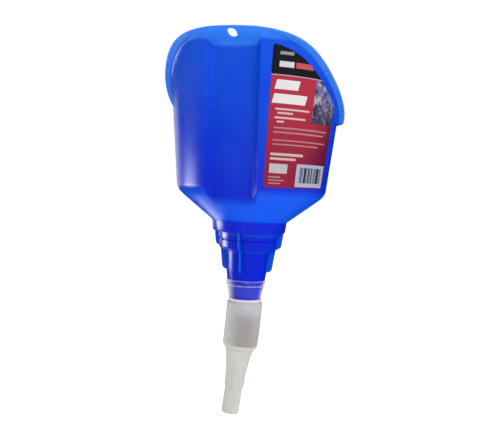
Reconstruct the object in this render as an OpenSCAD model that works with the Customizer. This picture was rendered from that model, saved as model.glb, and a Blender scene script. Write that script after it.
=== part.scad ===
// Hand-held pouring funnel with a high back, a grip recess and a flexible spout.
// Z is the axis of the neck, the origin is where the cone meets the neck,
// and the high back with the grip recess faces -Y.

/* [Bowl] */
// Outer radius where the bowl wall would meet the cone
bowl_r = 64.6; // [60:0.2:70]
// Height of the corner between cone and bowl wall above the neck
cone_h = 25; // [20:0.5:28]
// Outward draft of the bowl wall, in mm per mm of height
wall_draft = 0.1; // [0.06:0.01:0.12]
// Wall thickness of the moulded body
wall_t = 1.8; // [1.4:0.1:2.2]
// Radius of the rounded shoulder between cone and bowl wall
shoulder_r = 12; // [6:1:16]

/* [Rim] */
// Height of the rim at the high back
rim_back_z = 151.7; // [140:0.1:156]
// Height of the rim along the low front
rim_front_z = 90.4; // [80:0.1:96]
// Where along Y the falling rim reaches its low level
rim_front_y = 16; // [10:0.5:34]
// Width of the rim flange outside the wall
flange_w = 5.5; // [4:0.5:7]
// Upright thickness of the rim flange
flange_t = 2; // [1.6:0.1:2.6]

/* [Grip recess] */
// Half width of the flat floor of the recess
grip_half_w = 17.6; // [14:0.1:20]
// Distance of the recess floor from the axis, at grip_ref_z
grip_floor_y = 57.5; // [55:0.5:60]
// Width of the hanging slot in the web above the recess
slot_w = 7.6; // [6:0.2:9]
// Length of the hanging slot, seen from above
slot_len = 10; // [9:0.5:10.5]

/* [Neck] */
// Outer radius at the top of the neck
neck_r = 32.8; // [31:0.1:34]
// Thickness of the four stiffening fins
fin_t = 2; // [1.5:0.1:3]

/* [Flexible spout] */
// Number of loose folds between the collar and the nozzle
fold_count = 12; // [12:1:12]
// Distance from one fold to the next, along the spout
fold_pitch = 2.83; // [2.8:0.01:3.2]
// Outer radius of the folds
fold_r = 15.75; // [15:0.05:16.5]
// Sideways lean of the soft spout at its first fold, in degrees
lean_top = 2; // [0:0.1:3]
// Sideways lean of the nozzle, in degrees
lean = 5.2; // [3.5:0.1:6]
// Outer radius of the straight nozzle tip
tip_r = 7.95; // [7.5:0.05:8.2]
// Length of the nozzle below the last fold
nozzle_len = 62.5; // [57:0.5:64]

/* [Label] */
// Angle from the middle of the back to the label's near edge, in degrees
label_from = 24; // [22:1:28]
// Angle from the middle of the back to the label's far edge, in degrees
label_to = 79; // [60:1:85]
// Height of the label's lower edge
label_z = 31; // [30:0.5:36]

/* [Hidden] */

$fn = 96;
eps = 0.01;
body_blue = [0.02, 0.22, 0.84];
spout_white = [0.86, 0.86, 0.84, 0.75];
label_red = [0.66, 0.14, 0.2];

// Bowl: levels that the parts share
sky_z = 200;
reach = 100;
lip_slope = 0.6;
lip_r = bowl_r + wall_draft * (rim_back_z - cone_h) + flange_w;
grip_ref_z = 40;
grip_bevel = 0.8;

// Spout: the levels of the neck end, the collar and the folds
neck_end_z = -68.5;
collar_top_z = -52.5;
collar_end_z = -72.9;
folds_z = -73.7;
folds_len = (fold_count + 1) * fold_pitch;
lean_r = folds_len / ((lean - lean_top) * PI / 180);
fold_half_t = 0.6;
spout_t = 1;

// Outer radius of the bowl wall at a height
function wall_r(z) = bowl_r + wall_draft * (z - cone_h);

// One coordinate of a cubic curve with four control values
function curve(a, b, c, d, t) =
    a * pow(1 - t, 3) + 3 * b * t * pow(1 - t, 2) + 3 * c * t * t * (1 - t) + d * pow(t, 3);

// Side view of the rim: high and nearly flat at the back, then falling to the front
rim_steps = 20;
rim_line = [for (i = [0 : rim_steps]) [
    curve(-86, -46.2, -51.7, rim_front_y, i / rim_steps),
    curve(rim_back_z + 0.6, rim_back_z - 6.3, rim_front_z + 34.1, rim_front_z, i / rim_steps)]];

// Points on the rounded shoulder: an arc that touches the cone and the wall,
// drawn for a shell surface that lies "inset" inside the outer surface
cone_angle = atan2(cone_h, bowl_r - neck_r);
wall_angle = atan2(1, wall_draft);
shoulder_turn = wall_angle - cone_angle;
shoulder_steps = 8;
shoulder_reach = shoulder_r * tan(shoulder_turn / 2);
shoulder_centre = [bowl_r, cone_h]
    + shoulder_reach * [cos(wall_angle), sin(wall_angle)]
    + shoulder_r * [-sin(wall_angle), cos(wall_angle)];
function shoulder(inset) = [for (i = [0 : shoulder_steps])
    let (a = cone_angle - 90 + shoulder_turn * i / shoulder_steps)
    shoulder_centre + (shoulder_r - inset) * [cos(a), sin(a)]];

// Outside of the neck, from its open end up to the cone
neck_outside = [
    [13.1, neck_end_z], [16.6, collar_top_z], [17.7, -44.5], [18.9, -25],
    [24.6, -24.2], [25.3, -23], [25.6, -16.2], [26.1, -15.4], [26.4, -9.6],
    [31.3, -9], [31.8, -8.4], [neck_r, 0]];

// Inside of the neck, one wall inside the outside surface
neck_inside = [
    [13.1 - wall_t, neck_end_z - eps], [16.6 - wall_t, collar_top_z], [17.7 - wall_t, -44.5],
    [18.9 - wall_t, -24], [25.3 - wall_t, -21.4], [26.4 - wall_t, -8.2],
    [31.8 - wall_t, -6.6], [neck_r - wall_t * 0.9, 0.7]];

// The body is one moulding. It is drawn as bowl, rim, neck and fins, which meet
// face to face, so that each is a simple shape of its own.

// Everything inside the outer skin of cone and bowl, up to above the rim
module bowl_form(grow = 0) {
    rotate_extrude()
        polygon(concat([[0, 0], [neck_r + grow, 0]], shoulder(-grow),
            [[wall_r(sky_z) + grow, sky_z], [0, sky_z]]));
}

// Everything inside the outer skin of the neck
module neck_form() {
    rotate_extrude()
        polygon(concat([[0, neck_end_z]], neck_outside, [[0, 0]]));
}

// The room that the liquid runs through, open at both ends
module inner_form() {
    rotate_extrude()
        polygon(concat([[0, neck_end_z - eps]], neck_inside, shoulder(wall_t),
            [[wall_r(sky_z + 1) - wall_t, sky_z + 1], [0, sky_z + 1]]));
}

// Block that presses the grip recess into the back of the bowl.
// Its flat floor leans with the wall and its sides open outward.
module grip_block(grow = 0) {
    side_run = 40;
    half = grip_half_w + grow * 0.6;
    translate([0, -grip_floor_y + grow, grip_ref_z])
        rotate([atan(wall_draft), 0, 0])
            translate([0, 0, -reach])
                linear_extrude(height = 2 * reach + sky_z)
                    polygon([[-half, 0], [half, 0],
                        [half + grip_bevel * side_run, -side_run],
                        [-half - grip_bevel * side_run, -side_run]]);
}

// All space below the top face of the rim: the falling side view,
// capped at the back by a shallow cone, so that the lip there flares upward
module below_rim(drop = 0) {
    translate([0, 0, -drop])
        intersection() {
            translate([-reach, 0, 0])
                rotate([90, 0, 90])
                    linear_extrude(height = 2 * reach)
                        polygon(concat([[-reach, -reach]], [[-reach, rim_back_z + 1]], rim_line,
                            [[reach, rim_front_z], [reach, -reach]]));
            rotate_extrude()
                polygon([[0, -reach], [reach, -reach],
                    [reach, rim_back_z + lip_slope * (reach - lip_r)],
                    [60, rim_back_z + lip_slope * (60 - lip_r)],
                    [0, rim_back_z + lip_slope * (60 - lip_r)]]);
        }
}

// Bowl and cone under the rim, not yet hollow
module bowl_block() {
    intersection() {
        difference() {
            bowl_form();
            grip_block();
        }
        below_rim();
    }
}

// Two stepped fins on opposite sides of the neck
module fin_pair() {
    for (side = [0, 1])
        mirror([side, 0, 0])
            translate([0, fin_t / 2, 0])
                rotate([90, 0, 0])
                    linear_extrude(height = fin_t)
                        polygon([[15, -44.8], [17.6, -44.8], [21.8, -43], [22.8, -41.6],
                            [25.2, -23.6], [29.1, -21.9], [30.1, -20.4], [31.5, -8.6],
                            [31.5, -4], [15, -4]]);
}

// Oval slot through the web above the grip, by which the funnel hangs
module hanging_slot() {
    slot_y = -lip_r + 1.5 + slot_len / 2;
    end = (slot_len - slot_w) / 2;
    translate([0, slot_y, rim_back_z - 20]) {
        for (side = [-1, 1])
            translate([0, side * end, 0])
                cylinder(h = 40, r = slot_w / 2);
        translate([-slot_w / 2, -end, 0])
            cube([slot_w, 2 * end, 40]);
    }
}

module bowl() {
    color(body_blue)
        difference() {
            bowl_block();
            difference() {
                inner_form();
                grip_block(wall_t);
            }
        }
}

// Rim flange round the bowl, which also roofs the top of the grip recess
module rim() {
    color(body_blue)
        difference() {
            intersection() {
                bowl_form(flange_w);
                below_rim();
            }
            below_rim(flange_t);
            bowl_block();
            hanging_slot();
        }
}

module neck() {
    color(body_blue)
        difference() {
            neck_form();
            inner_form();
        }
}

module neck_fins() {
    color(body_blue)
        difference() {
            union() {
                fin_pair();
                rotate([0, 0, 90])
                    fin_pair();
            }
            neck_form();
        }
}

// Printed label on the wall beside the grip. Its top edge runs parallel to the rim.
module label() {
    label_t = 0.25;
    top_z = rim_back_z;
    color(label_red)
        intersection() {
            rotate([0, 0, label_from - 90])
                rotate_extrude(angle = label_to - label_from)
                    polygon([[wall_r(label_z), label_z], [wall_r(label_z) + label_t, label_z],
                        [wall_r(top_z) + label_t, top_z], [wall_r(top_z), top_z]]);
            below_rim(flange_t + 6);
        }
}

// Soft collar stretched over the end of the neck
module spout_collar() {
    grip = 0.15;
    color(spout_white)
        rotate_extrude()
            polygon([
                [16.75 - grip, collar_top_z + 0.9], [17.1, collar_top_z + 0.9], [17.5, collar_top_z + 0.3],
                [17.5, -56.2], [17, -56.9], [16.3, -57.2], [16.1, -58.4], [14.1, -70.2],
                [15.1, -71.4], [15.2, collar_end_z], [13.9, collar_end_z], [12.9, -70.6],
                [13.1 - grip, neck_end_z], [16.6 - grip, collar_top_z]]);
}

// Carries a spout piece to its place on the leaning line of the spout,
// "run" being the distance along that line from the top of the folds
module on_spout(run) {
    turn = lean_top + run / lean_r * 180 / PI;
    translate([-lean_r * (cos(lean_top) - cos(turn)), 0, folds_z - lean_r * (sin(turn) - sin(lean_top))])
        rotate([0, turn, 0])
            children();
}

// One fold of the bellows: a thin dished ring with a rounded crest.
// The rings nest, and each keeps clear of the next when the spout bends.
module fold(number) {
    root_r = 10.8;
    dish = 1.9;
    t = fold_half_t;
    color(spout_white)
        on_spout((number - 0.5) * fold_pitch)
            rotate_extrude()
                polygon([
                    [fold_r, -t * 0.4], [fold_r, t * 0.4], [fold_r - 0.35, t], [fold_r - 1.1, t],
                    [root_r, t - dish], [root_r, -t * 0.6 - dish], [fold_r - 1.3, -t], [fold_r - 0.35, -t]]);
}

// Tapered nozzle under the folds, with a last fold's crest at its top
// and a slight step above its straight tip.
// Each pair is a radius and a distance below the end of the folds.
nozzle_crest = -fold_pitch / 2;
nozzle_line = [
    [fold_r - 0.35, nozzle_crest - fold_half_t], [fold_r, nozzle_crest - 0.25],
    [fold_r, nozzle_crest + 0.25], [15.3, nozzle_crest + 0.8], [15.35, 0.2], [14.4, 1.9],
    [12.9, 3.6], [12, 6.2], [11.3, 9.6], [10.7, 13.6], [9.75, 20.5], [9.2, 27.5],
    [8.95, 35.5], [8.9, 37.2], [8.2, 38.6], [tip_r, 40]];

module nozzle() {
    tip_round = 0.8;
    tail = [[tip_r, nozzle_len - tip_round], [tip_r - tip_round * 0.3, nozzle_len - tip_round * 0.3],
        [tip_r - tip_round, nozzle_len]];
    outside = concat(nozzle_line, tail);
    last = len(outside) - 1;
    inside = [for (i = [last : -1 : 0]) [outside[i][0] - spout_t * (i == last ? 0.35 : 1),
        outside[i][1] + (i == 5 || i == 6 ? 0.5 : 0)]];
    color(spout_white)
        on_spout(folds_len)
            rotate_extrude()
                polygon([for (p = concat(outside, inside)) [p[0], -p[1]]]);
}

bowl();
rim();
neck();
neck_fins();
label();
spout_collar();
fold(1);  // fold_01
fold(2);  // fold_02
fold(3);  // fold_03
fold(4);  // fold_04
fold(5);  // fold_05
fold(6);  // fold_06
fold(7);  // fold_07
fold(8);  // fold_08
fold(9);  // fold_09
fold(10);  // fold_10
fold(11);  // fold_11
fold(12);  // fold_12
nozzle();
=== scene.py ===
# Looks of the flexible-spout funnel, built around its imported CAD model.
# Lengths are worked out in millimetres and put into Blender in metres.
import math

import bmesh
import bpy
import numpy as np
from mathutils import Matrix, Vector


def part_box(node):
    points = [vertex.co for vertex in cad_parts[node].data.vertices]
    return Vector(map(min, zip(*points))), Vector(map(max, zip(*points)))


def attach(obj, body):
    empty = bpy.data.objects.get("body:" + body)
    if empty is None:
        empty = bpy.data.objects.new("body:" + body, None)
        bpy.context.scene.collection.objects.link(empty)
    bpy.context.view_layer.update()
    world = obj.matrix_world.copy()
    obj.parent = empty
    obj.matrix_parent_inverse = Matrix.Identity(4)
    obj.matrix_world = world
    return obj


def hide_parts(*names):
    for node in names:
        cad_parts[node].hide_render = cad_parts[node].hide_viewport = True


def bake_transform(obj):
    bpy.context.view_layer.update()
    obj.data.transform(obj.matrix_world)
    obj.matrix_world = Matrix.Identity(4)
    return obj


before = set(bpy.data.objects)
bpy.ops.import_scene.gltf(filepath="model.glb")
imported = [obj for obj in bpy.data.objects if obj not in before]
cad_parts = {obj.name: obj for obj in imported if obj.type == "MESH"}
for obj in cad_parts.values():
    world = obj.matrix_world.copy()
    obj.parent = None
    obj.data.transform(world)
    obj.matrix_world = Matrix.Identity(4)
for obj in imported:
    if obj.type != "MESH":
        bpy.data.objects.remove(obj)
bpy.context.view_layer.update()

MM = 0.001


def box_mm(node):
    """Lowest and highest corner of a CAD node, in millimetres."""
    low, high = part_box(node)
    return np.array(low) / MM, np.array(high) / MM


# ---------------------------------------------------------------- dimensions

RIM_LOW, RIM_HIGH = box_mm("rim")
NECK_LOW, _ = box_mm("neck")
COLLAR_LOW, COLLAR_HIGH = box_mm("spout_collar")
NOZZLE_LOW, _ = box_mm("nozzle")
LABEL_LOW, _ = box_mm("label")

# Bowl and rim
LIP_R = -RIM_LOW[1]
RIM_BACK_Z = RIM_HIGH[2]
FLANGE_W = 5.5
FLANGE_T = 1.9
FLANGE_FILLET = 1.6  # between the wall and the underside of the flange
INNER_EDGE = 0.9  # rounding of the mouth's inner edge
WALL_T = 1.8
DRAFT = 0.1
CONE_H = 25
NECK_R = 32.8
BOWL_R = LIP_R - FLANGE_W - DRAFT * (RIM_BACK_Z - CONE_H)
RIM_FRONT_Z = 90.4
RIM_FRONT_Y = 16
LIP_SLOPE = 0.6
SHOULDER_BLEND = 5.3

# Side view of the rim: control points (Y, Z) from the high back to the low front
RIM_CURVE = [
    (-86, RIM_BACK_Z + 0.6), (-46.2, RIM_BACK_Z - 6.3),
    (-51.7, RIM_FRONT_Z + 34.1), (RIM_FRONT_Y, RIM_FRONT_Z)]
RIM_SOFTNESS = 0.8
RIM_CAP_BLEND = 0.6

# Grip recess and hanging slot
GRIP_HALF_W = 17.6
GRIP_FLOOR_Y = 57.5
GRIP_REF_Z = 40
GRIP_BEVEL = 0.8
GRIP_CROWN = 0.5
GRIP_FLOOR_BLEND = 1.6  # rounding between its floor and its bevels
GRIP_MOUTH_BLEND = 1.5  # rounding between its bevels and the wall
GRIP_REACH = 0.62  # the recess lies within this angle of the back, in radians
SLOT_W = 7.6
SLOT_LEN = 10
SLOT_EDGE = 1.5  # left between the slot and the lip
SLOT_Y = -LIP_R + SLOT_EDGE + SLOT_LEN / 2

# Neck and its fins
NECK_END_R = 13.1
NECK_END_Z = NECK_LOW[2]
SEAT_R = 16.6  # neck radius under the top edge of the collar
FIN_T = 1.5
FIN_EDGE = 0.3

# Collar
COLLAR_TOP_Z = COLLAR_HIGH[2] - 0.9
COLLAR_END_Z = COLLAR_LOW[2]

# Folds, and the line that the spout leans along
FOLDS = 12
PITCH = 2.83
FOLD_R = COLLAR_HIGH[0] - 1.75  # the collar's bead stands out further than the folds
FOLDS_Z = -73.7
FOLDS_LEN = (FOLDS + 1) * PITCH
LEAN_TOP = math.radians(2)
LEAN = math.radians(5.2)
LEAN_R = FOLDS_LEN / (LEAN - LEAN_TOP)

# Nozzle
TIP_R = 7.95
NOZZLE_LEN = 62.5
NOZZLE_WALL = 1
FLUTES = 10
FLUTE_DEPTH = 0.07

# Label
LABEL_FROM = math.radians(24)
LABEL_TO = math.radians(79)
LABEL_Z = LABEL_LOW[2]
LABEL_GAP = 5.6  # below the flange
LABEL_CORNER = 2.2
LABEL_LIFT = 0.05
LABEL_FILM = 0.14
PRINT_UNIT = 100  # the print is laid out in decimetres

# ------------------------------------------------------------- mesh helpers


def link(mesh, name):
    """A new object of the mesh, in the scene."""
    obj = bpy.data.objects.new(name, mesh)
    bpy.context.scene.collection.objects.link(obj)
    return obj


def soften(mesh, angle=40):
    """Smooth shading, with edges sharper than the angle left crisp."""
    mesh.polygons.foreach_set("use_smooth", [True] * len(mesh.polygons))
    mesh.set_sharp_from_angle(angle=math.radians(angle))


def ring_mesh(name, points):
    """A torus of quads from a (rows, columns, 3) array of points in millimetres, closed both ways."""
    rows, columns = points.shape[:2]
    here = np.arange(rows * columns).reshape(rows, columns)
    down = np.roll(here, -1, 0)
    quads = np.stack([here, np.roll(here, -1, 1), np.roll(down, -1, 1), down], -1)
    mesh = bpy.data.meshes.new(name)
    mesh.from_pydata((points.reshape(-1, 3) * MM).tolist(), [], quads.reshape(-1, 4).tolist())
    mesh.update()
    return mesh


def face_outward(mesh):
    """Turns the normals of a closed mesh outward."""
    bm = bmesh.new()
    bm.from_mesh(mesh)
    bmesh.ops.recalc_face_normals(bm, faces=bm.faces)
    if bm.calc_volume(signed=True) < 0:
        bmesh.ops.reverse_faces(bm, faces=bm.faces)
    bm.to_mesh(mesh)
    bm.free()


def smooth_min(a, b, width):
    """The lower of two values, with their crossing rounded over the width."""
    share = np.clip(0.5 + 0.5 * (b - a) / width, 0, 1)
    return b * (1 - share) + a * share - width * share * (1 - share)


def smooth_max(a, b, width):
    """The higher of two values, rounded in the same way."""
    return -smooth_min(-a, -b, width)


def rounded(corners, steps=5):
    """A polyline through corners (radius, height, rounding), with each corner turned into a short curve.
    A curve takes up less than half of the straight on either side of it."""

    def towards(here, other, rounding):
        leg = np.array(other[:2], float) - here
        length = np.linalg.norm(leg)
        return here + leg / length * min(rounding, 0.48 * length)

    line = []
    last = len(corners) - 1
    for i, (x, z, rounding) in enumerate(corners):
        here = np.array([x, z], float)
        if rounding == 0 or i in (0, last):
            line.append(here)
            continue
        start = towards(here, corners[i - 1], rounding)
        end = towards(here, corners[i + 1], rounding)
        for t in np.linspace(0, 1, steps):
            line.append(start * (1 - t) ** 2 + 2 * here * t * (1 - t) + end * t * t)
    return np.array(line)


def subdivided(line, step):
    """The same polyline with extra points on its long stretches."""
    out = [line[0]]
    for a, b in zip(line[:-1], line[1:]):
        parts = max(1, int(np.linalg.norm(b - a) / step))
        out += [a + (b - a) * (i + 1) / parts for i in range(parts)]
    return np.array(out)


def revolve(name, line, columns, place=None, ripple=None):
    """A closed ring-shaped mesh from a closed (radius, height) outline.
    ripple adds to the radius, and place maps the points to where they go."""
    turn = np.linspace(0, 2 * np.pi, columns, endpoint=False)
    radius = np.repeat(line[:, :1], columns, 1)
    if ripple is not None:
        radius = radius + ripple(turn[None, :], line[:, 1:2])
    height = np.repeat(line[:, 1:2], columns, 1)
    points = np.stack([radius * np.sin(turn), -radius * np.cos(turn), height], -1)
    if place is not None:
        points = place(points)
    mesh = ring_mesh(name, points)
    face_outward(mesh)
    return mesh


# ------------------------------------------------------------- body surface


def wall_r(z):
    """Outer radius of the bowl's wall, which widens upward."""
    return BOWL_R + DRAFT * (z - CONE_H)


def round_r(z):
    """Outer radius of cone and bowl at a height, without the grip recess."""
    cone = NECK_R + z * (BOWL_R - NECK_R) / CONE_H
    return smooth_min(cone, wall_r(z), SHOULDER_BLEND)


def recess_r(turn, z, inset):
    """Distance from the axis to the recess surface, for directions near the back."""
    floor_y = GRIP_FLOOR_Y + DRAFT * (z - GRIP_REF_Z) - inset
    half = GRIP_HALF_W + inset * 0.6
    side = np.abs(turn)
    crown = GRIP_CROWN * np.clip(1 - (floor_y * np.tan(np.minimum(side, 0.5)) / half) ** 2, 0, 1)
    flat = (floor_y + crown) / np.cos(side)
    opening = GRIP_BEVEL * np.cos(side) - np.sin(side)
    bevel = (GRIP_BEVEL * floor_y - half) / np.maximum(opening, 0.02)
    return smooth_max(flat, bevel, GRIP_FLOOR_BLEND)


def skin_r(turn, z, inset=0.0):
    """Radius of the outer skin, or of the skin that lies inset inside it."""
    plain = round_r(z) - inset
    pressed_in = smooth_min(plain, recess_r(turn, z, inset), GRIP_MOUTH_BLEND)
    return np.where(np.abs(turn) < GRIP_REACH, pressed_in, plain)


def rim_side_view():
    """Height of the rim against Y: the curve, level beyond its ends, with its corners softened."""
    t = np.linspace(0, 1, 240)
    weights = np.stack([(1 - t) ** 3, 3 * t * (1 - t) ** 2, 3 * t * t * (1 - t), t ** 3])
    y, z = np.array(RIM_CURVE).T @ weights
    reach, step, side = 110, 0.25, 24
    grid = np.linspace(-reach, reach, int(2 * reach / step) + 1)
    height = np.pad(np.interp(grid, y, z), side, mode="edge")
    window = np.exp(-0.5 * (np.arange(-side, side + 1) * step / RIM_SOFTNESS) ** 2)
    return grid, np.convolve(height, window / window.sum(), mode="valid")


RIM_Y, RIM_Z = rim_side_view()


def rim_top(turn, radius):
    """Height of the rim's top face: the side view, capped at the back by a cone that flares upward."""
    side = np.interp(-radius * np.cos(turn), RIM_Y, RIM_Z)
    flare = RIM_BACK_Z + LIP_SLOPE * (radius - LIP_R)
    return smooth_min(side, flare, RIM_CAP_BLEND)


def neck_outside():
    """The neck's steps from its end upward, with a narrow groove round the middle one."""
    return subdivided(rounded([
        (NECK_END_R, NECK_END_Z, 0), (SEAT_R, COLLAR_TOP_Z, 2), (17.7, -44.5, 2), (18.9, -25.3, 0.8),
        (24.7, -24.2, 0.7), (25.35, -23, 0.5), (25.6, -16.9, 0.2), (25.1, -16.5, 0.2), (25.1, -15.9, 0.2),
        (26.15, -15.4, 0.2), (26.4, -9.9, 0.35), (31.1, -9.2, 0.4), (31.85, -8.3, 0.5), (NECK_R, 0, 0)]), 2.2)


def neck_inside():
    """The inside of the same steps, from the cone downward."""
    t = WALL_T
    return subdivided(rounded([
        (NECK_R - 0.9 * t, 0.7, 0), (31.8 - t, -6.6, 1), (26.4 - t, -8.2, 1), (25.3 - t, -21.4, 1),
        (18.9 - t, -24, 1), (17.7 - t, -44.5, 2), (SEAT_R - t, COLLAR_TOP_Z, 2),
        (NECK_END_R - t, NECK_END_Z, 0)]), 3.5)


def body_columns():
    """Directions round the axis from the back, within half a turn, closest together across the recess."""
    fine_span, fine_step, coarse_step = 27, 0.6, 1.5
    fine = np.arange(-fine_span, fine_span + 0.01, fine_step)
    coarse = np.arange(fine_span + coarse_step, 360 - fine_span, coarse_step)
    turn = np.radians(np.concatenate([fine, coarse]))
    return (turn + np.pi) % (2 * np.pi) - np.pi


def body_points():
    """Rows of points up the outside of the body, round the flange and down the inside."""
    turn = body_columns()
    half_t = FLANGE_T / 2
    rows = []

    def add(radius, height):
        radius = np.broadcast_to(radius, turn.shape)
        height = np.broadcast_to(height, turn.shape)
        rows.append(np.stack([radius * np.sin(turn), -radius * np.cos(turn), height], -1))

    # where the wall meets the underside of the flange, and where the flange ends
    junction_z = np.full_like(turn, 120.0)
    outer_r = np.full_like(turn, LIP_R)
    for _ in range(30):
        junction_z = 0.5 * junction_z + 0.5 * (rim_top(turn, skin_r(turn, junction_z)) - FLANGE_T)
        outer_r = 0.5 * outer_r + 0.5 * (wall_r(rim_top(turn, outer_r)) + FLANGE_W)

    # neck, cone and wall
    for r, z in neck_outside()[:-1]:
        add(r, z)
    low_part = np.concatenate([np.linspace(0, 10, 5, endpoint=False), np.linspace(10, 34, 33)])
    for z in low_part:
        add(skin_r(turn, np.full_like(turn, z)), z)
    for share in np.linspace(0, 1, 44)[1:]:
        z = low_part[-1] + (junction_z - FLANGE_FILLET - low_part[-1]) * share
        add(skin_r(turn, z), z)

    # underside of the flange, its rounded edge and its top
    wall_end_r = skin_r(turn, junction_z - FLANGE_FILLET)
    for a in np.radians(np.linspace(18, 90, 5)):
        r = wall_end_r + FLANGE_FILLET * (1 - np.cos(a))
        add(r, rim_top(turn, r) - FLANGE_T - FLANGE_FILLET * (1 - np.sin(a)))
    under_start = wall_end_r + FLANGE_FILLET
    for share in np.linspace(0, 1, 13)[1:]:
        r = under_start + (outer_r - half_t - under_start) * share
        add(r, rim_top(turn, r) - FLANGE_T)
    edge_z = rim_top(turn, outer_r - half_t) - half_t
    for a in np.radians(np.linspace(-70, 70, 8)):
        add(outer_r - half_t + half_t * np.cos(a), edge_z + half_t * np.sin(a))
    inner_r = skin_r(turn, junction_z, WALL_T)
    for share in np.linspace(0, 1, 14):
        r = outer_r - half_t + (inner_r + INNER_EDGE - outer_r + half_t) * share
        add(r, rim_top(turn, r))

    # inner edge, inside of the wall, cone and neck
    for a in np.radians(np.linspace(20, 90, 4)):
        r = inner_r + INNER_EDGE * (1 - np.sin(a))
        add(r, rim_top(turn, r) - INNER_EDGE * (1 - np.cos(a)))
    top_in = rim_top(turn, inner_r) - INNER_EDGE
    for share in np.linspace(0, 1, 36)[1:]:
        z = top_in + (low_part[-1] - top_in) * share
        add(skin_r(turn, z, WALL_T), z)
    for z in low_part[::-1][1:]:
        if z > 1.5:
            add(skin_r(turn, np.full_like(turn, z), WALL_T), z + 0.2)
    for r, z in neck_inside():
        add(r, z)
    return np.array(rows)


def extrude(bm, travel):
    """Turns the one flat face of a bmesh into a prism."""
    swept = bmesh.ops.extrude_face_region(bm, geom=list(bm.faces))
    moved = [v for v in swept["geom"] if isinstance(v, bmesh.types.BMVert)]
    bmesh.ops.translate(bm, verts=moved, vec=travel)
    bmesh.ops.recalc_face_normals(bm, faces=bm.faces)


def slot_cutter():
    """Upright rod with the outline of the hanging slot, through the back of the rim."""
    steps = 20
    reach = 25
    end = (SLOT_LEN - SLOT_W) / 2
    outline = []
    for i in range(2 * steps):
        a = math.pi * i / steps
        y = SLOT_Y + SLOT_W / 2 * math.sin(a) + (end if i < steps else -end)
        outline.append((SLOT_W / 2 * math.cos(a), y))
    mesh = bpy.data.meshes.new("slot_cutter")
    bm = bmesh.new()
    bm.faces.new([bm.verts.new((x * MM, y * MM, (RIM_BACK_Z - reach) * MM)) for x, y in outline])
    extrude(bm, (0, 0, 2 * reach * MM))
    bm.to_mesh(mesh)
    bm.free()
    return link(mesh, "slot_cutter")


def apply_modifiers(obj):
    """Replaces the object's mesh by what its modifiers make of it."""
    graph = bpy.context.evaluated_depsgraph_get()
    made = bpy.data.meshes.new_from_object(obj.evaluated_get(graph))
    obj.modifiers.clear()
    obj.data = made


def make_body():
    """Bowl, rim and neck as one skin, with the hanging slot cut through it."""
    mesh = ring_mesh("bowl_and_neck", body_points())
    face_outward(mesh)
    body = link(mesh, "bowl_and_neck")
    cutter = slot_cutter()
    cut = body.modifiers.new("slot", "BOOLEAN")
    cut.object = cutter
    cut.operation = "DIFFERENCE"
    cut.solver = "EXACT"
    apply_modifiers(body)
    bpy.data.objects.remove(cutter)
    soften(body.data, 38)
    return body


def make_fin(number):
    """One stepped stiffening fin, sunk slightly into the neck wall."""
    outline = rounded([
        (17.1, -45.3, 0), (17.9, -44.7, 0.5), (21.7, -43.2, 1.2), (22.8, -41.4, 0.8), (25.2, -24.2, 1),
        (28.9, -22.3, 1.4), (30.05, -20.5, 1), (31.45, -8.9, 0.4), (31.2, -8, 0), (25.2, -8, 0),
        (24.9, -23.4, 0), (18.1, -24.6, 0)], 4)
    mesh = bpy.data.meshes.new("neck_fin")
    bm = bmesh.new()
    bm.faces.new([bm.verts.new((r * MM, -FIN_T / 2 * MM, z * MM)) for r, z in outline])
    extrude(bm, (0, FIN_T * MM, 0))
    outlines = [e for e in bm.edges if abs(e.verts[0].co.y - e.verts[1].co.y) < 1e-7]
    bmesh.ops.bevel(bm, geom=outlines, offset=FIN_EDGE * MM, segments=3, profile=0.5, affect="EDGES")
    bm.transform(Matrix.Rotation(math.radians(90 * number), 4, "Z"))
    bm.to_mesh(mesh)
    bm.free()
    soften(mesh, 50)
    return link(mesh, f"neck_fin_{number + 1}")


# ------------------------------------------------------------------- spout


def on_spout(points):
    """Carries points onto the leaning line of the spout.
    Their Z is minus the run below the top of the folds."""
    run = -points[..., 2]
    bent = np.clip(run, 0, FOLDS_LEN)
    turn = LEAN_TOP + bent / LEAN_R
    beyond = run - bent
    x = -LEAN_R * (math.cos(LEAN_TOP) - np.cos(turn)) - beyond * np.sin(turn)
    z = FOLDS_Z - LEAN_R * (np.sin(turn) - math.sin(LEAN_TOP)) - beyond * np.cos(turn)
    side = points[..., 0]
    return np.stack([x + side * np.cos(turn), points[..., 1], z - side * np.sin(turn)], -1)


def spout_point(run):
    """The place on the spout's line at a run below the top of the folds, in metres."""
    return tuple(on_spout(np.array([[0.0, 0.0, -run]]))[0] * MM)


def make_collar():
    """Thin sleeve on the neck's end: a double bead, a plain taper and a foot that widens to the folds."""
    bead = [
        (16.72, COLLAR_TOP_Z + 0.85, 0), (17.1, COLLAR_TOP_Z + 0.9, 0.2), (17.5, COLLAR_TOP_Z + 0.4, 0.3),
        (17.5, -53.6, 0.2), (17.15, -54.1, 0.2), (17.15, -55.0, 0.2), (17.5, -55.5, 0.2),
        (17.45, -56.6, 0.4), (16.45, -57.2, 0.3), (16.3, -58.0, 0.2), (16.55, -58.5, 0.15),
        (16.5, -59.0, 0.15), (16.0, -59.5, 0.3)]
    foot = [
        (14.2, -69.8, 1.5), (14.5, -70.9, 0.7), (15.4, -71.9, 0.8), (15.75, -72.9, 0.5),
        (FOLD_R, COLLAR_END_Z, 0), (FOLD_R - 0.8, COLLAR_END_Z, 0), (14.3, -71.9, 0.6)]
    inside = [
        (13.2, -70.2, 0.8), (13.15, NECK_END_Z - 0.3, 0.3), (16.65, COLLAR_TOP_Z, 0.5)]
    outline = subdivided(rounded(bead + foot + inside, 4), 2.4)
    return link(revolve("spout_collar_skin", outline, 128), "spout_collar_skin")


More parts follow.
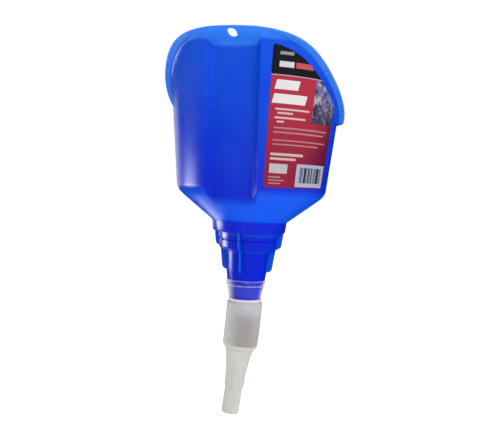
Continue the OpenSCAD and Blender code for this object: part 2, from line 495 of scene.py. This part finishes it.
def fold_outline():
    """Section of the wall from one crest to the next: the outer and inner radius against the share of the
    pitch. Each side is given by its depth below the crest down to the middle, and mirrored from there."""
    outer = [(0, 0), (0.01, 0.12), (0.05, 0.28), (0.14, 0.4), (0.24, 0.46), (0.28, 0.5)]
    inner = [(0.95, 0), (1.0, 0.15), (1.2, 0.3), (1.6, 0.42), (1.75, 0.5)]

    def both_ways(side):
        line = [(FOLD_R - depth, share) for depth, share in side]
        return line + [(r, 1 - share) for r, share in line[-2::-1]]

    return both_ways(outer), both_ways(inner)


def make_fold_wall(number):
    """The wall between crest number and the next, from the collar's foot (0) to the nozzle's top."""
    outer, inner = fold_outline()
    first = (number - 0.5) * PITCH
    corners = [(r, -(first + share * PITCH), 0.25) for r, share in outer + inner[::-1]]
    name = f"bellows_wall_{number:02d}"
    return link(revolve(name, rounded(corners, 3), 128, on_spout), name)


def nozzle_ripple(turn, height):
    """Faint upright flutes that fade out towards both ends of the taper."""
    run = -height - FOLDS_LEN
    strength = np.clip((run - 4) / 6, 0, 1) * np.clip((NOZZLE_LEN - 3 - run) / 5, 0, 1)
    return -FLUTE_DEPTH * strength * np.abs(np.cos(FLUTES / 2 * turn)) ** 12


def make_nozzle():
    """Tapered nozzle from the last fold down to its straight tip, with an even wall."""
    crest = -PITCH / 2
    outer = [
        (FOLD_R, crest, 0), (FOLD_R, crest + 0.35, 0.4), (15.35, 0, 1), (14.9, 1.3, 0.9), (13.2, 3.3, 1.2),
        (12.65, 4.2, 0.4), (12.75, 4.6, 0.3), (12.35, 5.3, 0.4), (12.1, 6.6, 0.8), (11.35, 9.6, 3),
        (10.7, 13.6, 3), (9.75, 20.5, 4), (9.2, 27.5, 4), (8.95, 35.5, 1.5), (8.88, 37.1, 0.5),
        (8.25, 38.7, 0.5), (TIP_R, 41, 1.5), (TIP_R, NOZZLE_LEN - 1.6, 1), (TIP_R - 0.7, NOZZLE_LEN, 0.8)]
    inner = [(r - NOZZLE_WALL, run + (0.4 if 0 < run < 6 else 0), w) for r, run, w in outer[:-1]]
    mouth = (TIP_R - NOZZLE_WALL, NOZZLE_LEN, 0)
    corners = outer + [mouth] + inner[::-1]
    outline = rounded([(r, -(FOLDS_LEN + run), w) for r, run, w in corners], 5)
    mesh = revolve("nozzle_skin", subdivided(outline, 1.8), 160, on_spout, nozzle_ripple)
    return link(mesh, "nozzle_skin")


# ------------------------------------------------------------------- label


def make_label():
    """Thin film on the bowl wall, with rounded corners and a top edge parallel to the rim."""
    columns, rows = 96, 120
    mid_r = wall_r(90)
    width = (LABEL_TO - LABEL_FROM) * mid_r
    across = 0.5 - 0.5 * np.cos(np.pi * np.linspace(0, 1, columns))
    turn = LABEL_FROM + (LABEL_TO - LABEL_FROM) * across
    top = rim_top(turn, wall_r(120) + 0 * turn)
    for _ in range(8):
        top = rim_top(turn, wall_r(top)) - FLANGE_T - LABEL_GAP
    inset = np.maximum(LABEL_CORNER - np.minimum(across, 1 - across) * width, 0)
    bite = LABEL_CORNER - np.sqrt(np.maximum(LABEL_CORNER ** 2 - inset ** 2, 0))
    top = top - bite
    bottom = LABEL_Z + bite
    share = 0.5 - 0.5 * np.cos(np.pi * np.linspace(0, 1, rows))[:, None]
    height = bottom + (top - bottom) * share
    turns = np.repeat(turn[None, :], rows, 0)

    def layer(out):
        r = wall_r(height) + out
        return np.stack([r * np.sin(turns), -r * np.cos(turns), height], -1)

    front, back = layer(LABEL_LIFT + LABEL_FILM), layer(LABEL_LIFT)
    count = rows * columns
    points = np.concatenate([front.reshape(-1, 3), back.reshape(-1, 3)])
    index = np.arange(count).reshape(rows, columns)
    corners = [index[:-1, :-1], index[:-1, 1:], index[1:, 1:], index[1:, :-1]]
    faces = np.stack(corners, -1).reshape(-1, 4)
    ring = np.concatenate([index[0, :-1], index[:-1, -1], index[-1, :0:-1], index[:0:-1, 0]])
    sides = [(a, b, b + count, a + count) for a, b in zip(ring, np.roll(ring, -1))]
    quads = faces.tolist() + (faces[:, ::-1] + count).tolist() + [list(map(int, q)) for q in sides]
    mesh = bpy.data.meshes.new("label_film")
    mesh.from_pydata((points * MM).tolist(), [], quads)
    mesh.update()
    face_outward(mesh)
    # where each point lies on the print, from the label's lower near corner
    uv = mesh.uv_layers.new(name="print")
    place_u = np.tile(((turns - LABEL_FROM) * mid_r / PRINT_UNIT).ravel(), 2)
    place_v = np.tile(((height - LABEL_Z) / PRINT_UNIT).ravel(), 2)
    loops = np.zeros(len(mesh.loops), np.int32)
    mesh.loops.foreach_get("vertex_index", loops)
    uv.data.foreach_set("uv", np.stack([place_u[loops], place_v[loops]], -1).astype(np.float32).ravel())
    soften(mesh, 40)
    return link(mesh, "label_film")


# --------------------------------------------------------------- materials


class Shader:
    """A node material, with short calls for the nodes that the looks are made of."""

    def __init__(self, name):
        self.material = bpy.data.materials.new(name)
        self.material.use_nodes = True
        self.tree = self.material.node_tree
        self.bsdf = self.tree.nodes["Principled BSDF"]
        self.place = self.tree.nodes.new("ShaderNodeTexCoord").outputs["Object"]

    def put(self, socket, value):
        """Links another node's output to the socket, or sets it to a number or a colour."""
        if isinstance(value, bpy.types.NodeSocket):
            self.tree.links.new(value, socket)
        elif isinstance(value, tuple) and len(value) == 3:
            socket.default_value = (*value, 1) if len(socket.default_value) == 4 else value
        else:
            socket.default_value = value

    def set(self, **values):
        """Principled inputs by name, with underscores for spaces."""
        for name, value in values.items():
            self.put(self.bsdf.inputs[name.replace("_", " ")], value)

    def math(self, operation, a, b=0.0, c=None, clamp=False):
        node = self.tree.nodes.new("ShaderNodeMath")
        node.operation = operation
        node.use_clamp = clamp
        self.put(node.inputs[0], a)
        self.put(node.inputs[1], b)
        if c is not None:
            self.put(node.inputs[2], c)
        return node.outputs[0]

    def distance(self, value, place):
        return self.math("ABSOLUTE", self.math("SUBTRACT", value, place))

    def mix(self, share, a, b):
        """Colour a where the share is 0, and colour b where it is 1."""
        node = self.tree.nodes.new("ShaderNodeMix")
        node.data_type = "RGBA"
        self.put(node.inputs["Factor"], share)
        self.put(node.inputs["A"], a)
        self.put(node.inputs["B"], b)
        return node.outputs["Result"]

    def scaled(self, source, x=1.0, y=1.0, z=1.0):
        node = self.tree.nodes.new("ShaderNodeMapping")
        self.put(node.inputs["Vector"], source)
        node.inputs["Scale"].default_value = (x, y, z)
        return node.outputs[0]

    def noise(self, scale, detail, vector=None):
        node = self.tree.nodes.new("ShaderNodeTexNoise")
        self.put(node.inputs["Vector"], vector or self.place)
        node.inputs["Scale"].default_value = scale
        node.inputs["Detail"].default_value = detail
        return node.outputs["Fac"]

    def ramp(self, value, low, high, to_low=0.0, to_high=1.0, smooth=True):
        """Carries the range from low to high onto another one, clamped at both ends."""
        node = self.tree.nodes.new("ShaderNodeMapRange")
        node.interpolation_type = "SMOOTHSTEP" if smooth else "LINEAR"
        self.put(node.inputs["Value"], value)
        node.inputs["From Min"].default_value = low
        node.inputs["From Max"].default_value = high
        node.inputs["To Min"].default_value = to_low
        node.inputs["To Max"].default_value = to_high
        return node.outputs[0]

    def split(self, vector):
        node = self.tree.nodes.new("ShaderNodeSeparateXYZ")
        self.put(node.inputs[0], vector)
        return node.outputs

    def bump(self, height, distance, strength=1.0, normal=None):
        node = self.tree.nodes.new("ShaderNodeBump")
        self.put(node.inputs["Height"], height)
        node.inputs["Distance"].default_value = distance
        node.inputs["Strength"].default_value = strength
        if normal is not None:
            self.put(node.inputs["Normal"], normal)
        return node.outputs[0]


def blue_plastic(name, fins=False):
    """Saturated blue moulded polyethylene: satin, with faint flow marks and a fine skin.
    The lip, the cone, the neck's ledges and the fins are painted lighter as painted light, and the neck, the
    low wall and the bottom of the grip recess are painted darker as painted shade.
    The web at the back has no gloss, because it would glare wherever it is seen edge-on."""
    # painted shade and light: the darkest blue is painted shade for the neck and low wall; the cone, lip and
    # fin blues are painted lighter as painted light
    painted_shade_blue, wall, cone, lip = (0.0, 0.009, 0.39), (0.0, 0.062, 0.47), (0.0, 0.064, 0.56), (0.028, 0.15, 0.60)
    fin = (0.0, 0.058, 0.47)
    s = Shader(name)
    clouds = s.noise(16, 2)
    flow = s.noise(1, 3, s.scaled(s.place, 60, 60, 9))
    grain = s.noise(2600, 2)
    x, y, z = s.split(s.place)

    # places on the body, each 0 outside and 1 inside
    above_neck = s.ramp(z, -0.001, 0.002)
    in_grip = s.math("MULTIPLY", s.ramp(s.math("ABSOLUTE", x), 0.023, 0.018), s.ramp(y, -0.042, -0.048))
    # painted shade: inside the grip recess the dark low-wall tone reaches further down, where the lighter
    # cone tone would be
    above_cone = s.ramp(s.math("MULTIPLY_ADD", in_grip, 0.009, z), 0.021, 0.031)
    from_ledge = s.math("MINIMUM", s.distance(z, -0.011), s.distance(z, -0.0258))
    radius = s.math("SQRT", s.math("ADD", s.math("MULTIPLY", x, x), s.math("MULTIPLY", y, y)))
    wall_radius = s.math("MULTIPLY_ADD", z, DRAFT, (BOWL_R - DRAFT * CONE_H) * MM)
    on_flange = s.math("MULTIPLY", above_neck, s.ramp(s.math("SUBTRACT", radius, wall_radius), 0.0004, 0.002))
    web_z = (RIM_BACK_Z - LIP_SLOPE * LIP_R - FLANGE_T) * MM
    over_web = s.math("SUBTRACT", s.math("MULTIPLY_ADD", radius, -LIP_SLOPE, z), web_z)
    # painted light: the flange and a strip just under the web take the lighter, paler lip blue
    lip_painted_light = s.math("MAXIMUM", on_flange, s.ramp(over_web, -0.004, -0.001, 0, 0.8))

    # painted light and shade: darker low on the wall and in the neck, lightest in the cone, lighter up the
    # wall, with painted highlights along the neck's ledges
    shade = s.math("MULTIPLY_ADD", flow, 0.5, s.math("MULTIPLY", clouds, 0.5))
    cone_painted_light = 0.95
    wall_painted_light = s.ramp(z, 0.025, 0.15, 0.04, 0.92, smooth=False)
    light = s.math("MULTIPLY_ADD", above_cone, s.math("SUBTRACT", wall_painted_light, cone_painted_light), cone_painted_light)
    ledge_painted_highlight = s.ramp(from_ledge, 0.0022, 0.0008, 0, 0.45)
    light = s.math("MAXIMUM", s.math("MULTIPLY", above_neck, light), ledge_painted_highlight)
    light = s.math("ADD", light, s.math("MULTIPLY", s.math("SUBTRACT", shade, 0.5), 0.5), clamp=True)
    color = s.mix(lip_painted_light, s.mix(light, painted_shade_blue, s.mix(above_cone, cone, wall)), lip)

    satin = s.ramp(s.math("ADD", clouds, s.math("MULTIPLY", grain, 0.3)), 0.4, 0.9, 0.17, 0.27)
    # painted light: the fins take one flat blue, lighter than the painted-shade neck around them
    s.set(
        Base_Color=fin if fins else color,
        Roughness=s.math("MULTIPLY_ADD", above_neck, 0.06, satin),
        Normal=s.bump(grain, 0.00002, 0.4, s.bump(flow, 0.0006, 0.25)),
    )
    s.set(IOR=1.5, Specular_IOR_Level=s.ramp(over_web, -0.003, 0, 0.28, 0))
    s.set(Subsurface_Weight=0.4, Subsurface_Scale=0.0015, Subsurface_Radius=(0.1, 0.35, 1.0))
    return s.material


def milky_plastic(name):
    """Natural soft polyethylene, milky, with draw lines along the spout and a cloudy thickness.
    Its colour is set by the three materials below, which also use its clouds and lines."""
    s = Shader(name)
    clouds = s.noise(70, 3)
    lines = s.noise(1, 3, s.scaled(s.place, 520, 520, 30))
    s.set(Roughness=s.ramp(clouds, 0.3, 0.7, 0.32, 0.46), Normal=s.bump(lines, 0.0002, 0.35))
    s.set(IOR=1.5, Specular_IOR_Level=0.35)
    s.set(Subsurface_Weight=0.5, Subsurface_Scale=0.003, Subsurface_Radius=(1.0, 0.95, 0.85))
    return s, clouds, lines


def nozzle_plastic():
    """Warm and cool greys, mixed along the draw lines."""
    warm, cool = (0.37, 0.36, 0.325), (0.42, 0.41, 0.39)
    s, clouds, lines = milky_plastic("milky_polyethylene")
    shade = s.math("MULTIPLY_ADD", lines, 0.6, s.math("MULTIPLY", clouds, 0.4))
    s.set(Base_Color=s.mix(s.ramp(shade, 0.35, 0.65), warm, cool))
    return s.material


def fold_plastic():
    """Painted shade on the stacked folds: darker and greyer, most of all further down and across the middle;
    painted light at both sides and along the top folds below the neck.
    """
    middle, sides, painted_lit_top = (0.235, 0.225, 0.22), (0.37, 0.36, 0.345), (0.37, 0.355, 0.395)
    s, _, _ = milky_plastic("milky_polyethylene_folds")
    x, _, z = s.split(s.place)
    # painted shade across the middle, painted light towards both sides and on the top folds
    lower = s.mix(s.ramp(s.distance(x, 0.0055), 0.002, 0.017), middle, sides)
    s.set(Base_Color=s.mix(s.ramp(z, (FOLDS_Z - 16) * MM, (FOLDS_Z + 2) * MM), lower, painted_lit_top))
    return s.material


def collar_plastic():
    """Stretched thin over the neck: nearly clear face on, milkier at its edges and below the neck's end."""
    film_color, foot_color = (0.52, 0.52, 0.54), (0.37, 0.36, 0.385)
    foot_alpha = 0.94
    s, clouds, _ = milky_plastic("milky_polyethylene_collar")
    x, _, z = s.split(s.place)
    edge = s.tree.nodes.new("ShaderNodeLayerWeight")
    edge.inputs["Blend"].default_value = 0.5

    # the film: its edges, a painted glare down its left side, clouds, fine rings and two ring lines
    film = s.ramp(edge.outputs["Facing"], 0.35, 1.0, 0.012, 0.45)
    film = s.math("ADD", film, s.ramp(x, -0.004, -0.014, 0, 0.36))
    film = s.math("MULTIPLY_ADD", s.ramp(clouds, 0.35, 0.65), 0.015, film)
    film = s.math("MULTIPLY_ADD", s.math("SINE", s.math("MULTIPLY", z, 5200)), 0.008, film)
    for line in (COLLAR_TOP_Z + 0.6, -56.2):
        ring = s.ramp(s.distance(z, line * MM), 0.0005, 0.0002)
        film = s.math("MULTIPLY_ADD", ring, 0.2, film)

    below_neck = s.ramp(z, (NECK_END_Z + 0.6) * MM, (NECK_END_Z - 0.6) * MM)
    foot = s.ramp(z, (NECK_END_Z - 0.5) * MM, (NECK_END_Z - 2.5) * MM)
    s.set(
        Base_Color=s.mix(foot, film_color, foot_color),
        Alpha=s.math("MULTIPLY_ADD", below_neck, s.math("SUBTRACT", foot_alpha, film), film, clamp=True),
    )
    return s.material


def label_print():
    """Dark upper field over a red lower field, with plain blocks and bars in place of print."""
    black = (0.012, 0.012, 0.018)
    red_low, red_high, red_painted_shade_and_reflection = (0.28, 0.014, 0.04), (0.42, 0.026, 0.05), (0.075, 0.003, 0.045)
    s = Shader("label_print")
    uv = s.tree.nodes.new("ShaderNodeUVMap")
    uv.uv_map = "print"
    sheet = uv.outputs[0]
    across, up, _ = s.split(sheet)
    softness = 0.0016

    def block(left, right, low, high, slant=0.0):
        """1 inside a rectangle given in millimetres from the label's lower near corner."""
        u = s.math("SUBTRACT", across, s.math("MULTIPLY", up, slant)) if slant else across
        inside = []
        for place, start, end in ((u, left, right), (up, low, high)):
            middle, half = (start + end) / (2 * PRINT_UNIT), (end - start) / (2 * PRINT_UNIT)
            inside.append(s.math("SUBTRACT", half, s.distance(place, middle)))
        return s.ramp(s.math("MINIMUM", *inside), -softness, softness)

    # fields, with a pale line between the dark one and the red one
    field_edge = 0.8625
    slanted = s.math("SUBTRACT", across, s.math("MULTIPLY", up, 0.5))
    color = s.mix(s.ramp(up, 0.1, 0.8), red_low, red_high)
    # painted shade: the red darkens towards the far side, turned purple by a painted reflection of the blue
    # body
    color = s.mix(s.ramp(slanted, 0.1, 0.6, 0, 0.85), color, red_painted_shade_and_reflection)
    color = s.mix(s.ramp(up, field_edge + 0.0015, field_edge + 0.003), color, black)
    color = s.mix(s.ramp(s.distance(up, field_edge), 0.0045, 0.0025), color, (0.5, 0.36, 0.36))

    # picture panel: soft abstract shapes
    shapes = s.ramp(s.noise(11, 2, sheet), 0.42, 0.5)
    patches = s.ramp(s.noise(17, 2, s.scaled(sheet, 1, 0.8, 1)), 0.52, 0.6)
    tones = s.mix(shapes, (0.05, 0.055, 0.10), (0.16, 0.15, 0.34))
    tones = s.mix(patches, tones, (0.40, 0.40, 0.42))
    tones = s.mix(s.ramp(up, 0.75, 0.54, 0, 0.75), tones, (0.02, 0.02, 0.03))
    color = s.mix(block(38.5, 75, 52, 85.6), color, tones)

    # bars and blocks, from the top down
    white, pale, soft, dim = (0.72, 0.70, 0.70), (0.60, 0.45, 0.46), (0.58, 0.42, 0.43), (0.42, 0.20, 0.22)
    for shape, paint in (
        ((5.5, 16, 101.5, 103.8), (0.30, 0.30, 0.32)),
        ((5.5, 17, 92.3, 96.6), (0.62, 0.62, 0.64)),
        ((18.5, 34, 92.3, 96.6), (0.52, 0.08, 0.09)),
        ((-13.5, 5.5, 75.6, 82.8, 0.22), white),
        ((-12.5, 15.5, 65, 72.2, 0.22), white),
        ((5, 35, 60.0, 61.4), pale),
        ((7, 20, 57.0, 58.4), pale),
        ((5, 32, 53.4, 54.8), pale),
        ((7, 13, 50.4, 51.8), pale),
        ((5, 60, 45.8, 47.0), dim),
        ((5, 56, 42.4, 43.6), dim),
        ((5, 60, 36.4, 37.4), dim),
        ((5, 50, 33.2, 34.2), dim),
        ((4, 34, 25.0, 27.0), soft),
        ((4, 27, 21.6, 23.4), soft),
        ((4, 20, 11.2, 18.6), (0.50, 0.44, 0.46)),
        ((4, 14, 7.6, 8.8), dim),
        ((4, 18, 5.2, 6.2), dim),
        ((4, 15, 2.8, 3.8), dim),
    ):
        color = s.mix(block(*shape), color, paint)

    # pale panel with upright stripes that encode nothing
    color = s.mix(block(29, 65.5, 1.2, 19.4), color, (0.38, 0.40, 0.56))
    bars = s.ramp(s.noise(80, 0, s.scaled(sheet, 1, 0.0001, 1)), 0.45, 0.49)
    color = s.mix(s.math("MULTIPLY", bars, block(33, 61.5, 4.5, 16.8)), color, (0.03, 0.03, 0.035))

    ink_depth = 0.42
    s.set(
        Base_Color=s.mix(ink_depth, color, (0.0, 0.0, 0.0)),
        Roughness=s.ramp(s.noise(90, 3), 0.3, 0.7, 0.26, 0.36),
        Normal=s.bump(s.noise(14, 2), 0.0004, 0.25),
    )
    s.set(IOR=1.5, Specular_IOR_Level=0.2)
    return s.material


def floor_paint():
    """Near white and matt, with a little light of its own so that it stays even."""
    s = Shader("pale_floor")
    tint = s.ramp(s.noise(3, 2), 0.3, 0.7)
    s.set(Base_Color=s.mix(tint, (0.93, 0.93, 0.93), (0.95, 0.95, 0.95)), Roughness=0.7)
    s.set(Emission_Color=(1.0, 1.0, 1.0), Emission_Strength=0.22)
    return s.material


# ------------------------------------------------------- pieces and bodies

BLUE = blue_plastic("blue_polyethylene")
FIN_BLUE = blue_plastic("blue_polyethylene_fins", fins=True)
NOZZLE_MILKY = nozzle_plastic()
FOLD_MILKY = fold_plastic()
COLLAR_MILKY = collar_plastic()


def finish_piece(obj, material, body=None, nodes=()):
    """Gives a piece its material and the body it rides on, and hides the CAD nodes it stands for."""
    obj.data.materials.clear()
    obj.data.materials.append(material)
    if body:
        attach(obj, body)
    if nodes:
        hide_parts(*nodes)
    return obj


finish_piece(make_body(), BLUE, "funnel", ["bowl", "rim", "neck"])
for fin_number in range(4):
    finish_piece(make_fin(fin_number), FIN_BLUE, "funnel", [] if fin_number else ["neck_fins"])

collar = make_collar()
soften(collar.data, 45)
finish_piece(collar, COLLAR_MILKY, "funnel", ["spout_collar"])

# For each wall, the two neighbouring bodies and the points where its ends meet the spout's line are listed;
# for one pair the lower body is named first.
CHAIN = ["funnel"] + [f"fold_{i:02d}" for i in range(1, FOLDS + 1)] + ["nozzle"]
LOWER_NAMED_FIRST = 9
for crest_number in range(FOLDS + 1):
    wall = make_fold_wall(crest_number)
    soften(wall.data, 60)
    stands_for = [CHAIN[crest_number + 1]] if crest_number < FOLDS else []
    finish_piece(wall, FOLD_MILKY, None, stands_for)
    ends = [(CHAIN[i], spout_point((i - 0.5) * PITCH)) for i in (crest_number, crest_number + 1)]
    if crest_number == LOWER_NAMED_FIRST:
        ends.reverse()
    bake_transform(wall)

nozzle = make_nozzle()
soften(nozzle.data, 45)
finish_piece(nozzle, NOZZLE_MILKY, "nozzle", ["nozzle"])

label = make_label()
finish_piece(label, label_print(), "funnel", ["label"])

# ------------------------------------------------------------------- stage


def make_floor():
    """A wide floor, a little below the tip of the spout."""
    drop = 50 * MM
    reach = 6.0
    mesh = bpy.data.meshes.new("floor")
    z = NOZZLE_LOW[2] * MM - drop
    corners = [(-reach, -reach, z), (reach, -reach, z), (reach, reach, z), (-reach, reach, z)]
    mesh.from_pydata(corners, [], [(0, 1, 2, 3)])
    floor = link(mesh, "floor")
    floor.data.materials.append(floor_paint())
    floor.visible_glossy = False


def make_light(name, place, aim, size, power, gloss=False):
    """A soft box. Gloss boxes only make highlights, and the others only light the surfaces."""
    light = bpy.data.lights.new(name, "AREA")
    light.shape = "RECTANGLE"
    light.size, light.size_y = size
    light.energy = power
    obj = bpy.data.objects.new(name, light)
    bpy.context.scene.collection.objects.link(obj)
    obj.location = place
    obj.rotation_euler = (Vector(aim) - Vector(place)).to_track_quat("-Z", "Y").to_euler()
    obj.visible_camera = False
    obj.visible_diffuse = not gloss
    obj.visible_glossy = gloss


def make_world():
    """An even white surround that lights the surfaces and isn't mirrored in them."""
    world = bpy.data.worlds.new("studio")
    world.use_nodes = True
    background = world.node_tree.nodes["Background"]
    background.inputs["Color"].default_value = (1, 1, 1, 1)
    background.inputs["Strength"].default_value = 1.0
    bpy.context.scene.world = world
    world.cycles_visibility.glossy = False


def make_camera():
    """Just above the neck, beside the back, and rolled a little, so that the funnel leans in the view."""
    azimuth, elevation, roll = math.radians(16), math.radians(3.44), math.radians(3.3)
    distance = 0.6
    level = math.cos(elevation)
    back = Vector((math.sin(azimuth) * level, -math.cos(azimuth) * level, math.sin(elevation)))
    data = bpy.data.cameras.new("camera")
    data.sensor_width = 36
    data.lens = 51.03
    data.shift_x = -0.0185
    data.shift_y = 0.0170
    camera = bpy.data.objects.new("camera", data)
    bpy.context.scene.collection.objects.link(camera)
    turn = (-back).to_track_quat("-Z", "Y").to_matrix() @ Matrix.Rotation(roll, 3, "Z")
    camera.matrix_world = Matrix.Translation(back * distance) @ turn.to_4x4()
    bpy.context.scene.camera = camera


make_floor()
make_world()
make_light("side_gloss", (-0.775, -0.02, -0.12), (0, 0, 0.02), (0.34, 0.11), 2.6, gloss=True)
make_light("side_gloss_low", (-0.775, -0.05, -0.25), (0, 0, -0.03), (0.34, 0.16), 0.5, gloss=True)
make_light("side_strip", (-0.62, 0.50, 0.02), (0, 0, 0.06), (0.42, 0.26), 0.45, gloss=True)
make_light("under_gloss", (-0.176, 0.178, -0.19), (0, 0, 0.01), (0.1, 0.1), 0.12, gloss=True)
make_light("key", (1.1, -0.9, 0.45), (0, 0, 0), (0.9, 0.9), 15)
make_light("fill", (-1.1, -0.7, 0.0), (0, 0, 0), (0.9, 0.9), 2.5)
make_light("top", (0, 0.2, 1.3), (0, 0, 0), (1.0, 1.0), 10)
make_camera()
bpy.context.scene.view_settings.view_transform = "Standard"
